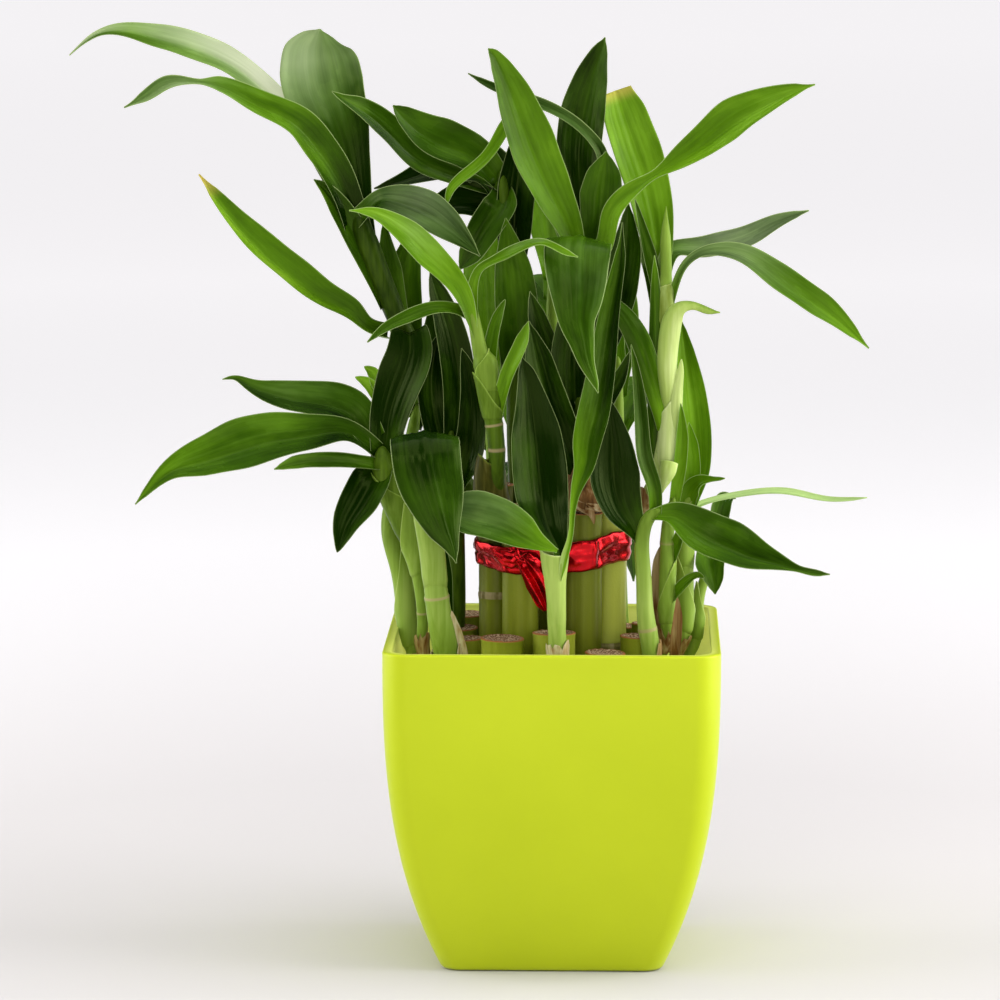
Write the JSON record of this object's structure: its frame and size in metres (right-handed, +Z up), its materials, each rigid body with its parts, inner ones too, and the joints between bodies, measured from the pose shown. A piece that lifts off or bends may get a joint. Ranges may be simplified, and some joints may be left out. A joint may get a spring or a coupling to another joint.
{
  "type": "potted lucky bamboo",
  "caption": "Lucky bamboo: cut canes bundled in two tiers in a square tapered plastic pot, tied with a foil ribbon, with long arching leaves on shoots from the canes.",
  "frame": {"origin": "centre of the pot's flat base, on the surface that it stands on", "axes": "+Z up along the pot's axis, -Y towards the viewer of the picture, +X to the viewer's right"},
  "size_m": [0.2703, 0.1529, 0.3099],
  "materials": {
    "pot_plastic": "satin lime green moulded plastic",
    "water": "clear still water",
    "cane": "smooth olive green living cane with brown cut ends",
    "leaf_green": "dark green satin leaf with a paler midrib and edges",
    "leaf_bright": "bright to pale green satin leaf and stem",
    "ribbon_foil": "creased glossy red foil ribbon",
    "green_tie": "matte dark green tie"
  },
  "bodies": {
    "root": {"pot": "pot_plastic", "water": "water", "lower_tie": "green_tie", "red_ribbon": "ribbon_foil", "short_cane_1": "cane", "short_cane_2": "cane", "short_cane_3": "cane", "short_cane_4": "cane", "short_cane_5": "cane", "short_cane_6": "cane", "short_cane_7": "cane", "short_cane_8": "cane", "short_cane_9": "cane", "short_cane_10": "cane", "short_cane_11": "cane", "short_cane_12": "cane", "short_cane_13": "cane", "tall_cane_1": "cane", "tall_cane_2": "cane", "tall_cane_3": "cane", "tall_cane_4": "cane", "tall_cane_5": "cane", "tall_cane_6": "cane", "tall_cane_7": "cane", "tall_cane_8": "cane", "shoot_front": "leaf_green", "shoot_left_front": "leaf_green", "shoot_left_fan": "leaf_green", "shoot_left_slim": "leaf_green", "shoot_left_dark": "leaf_green", "shoot_bright": "leaf_bright", "shoot_upper_left": "leaf_green", "shoot_rear_centre": "leaf_green", "shoot_centre": "leaf_green", "shoot_pale": "leaf_bright", "shoot_right_front": "leaf_green", "shoot_right_slim": "leaf_bright", "shoot_right": "leaf_bright", "shoot_right_edge": "leaf_green", "shoot_back_left": "leaf_green", "shoot_back_middle": "leaf_green", "shoot_back_right": "leaf_green", "shoot_back_tall": "leaf_green"}
  },
  "joints": []
}
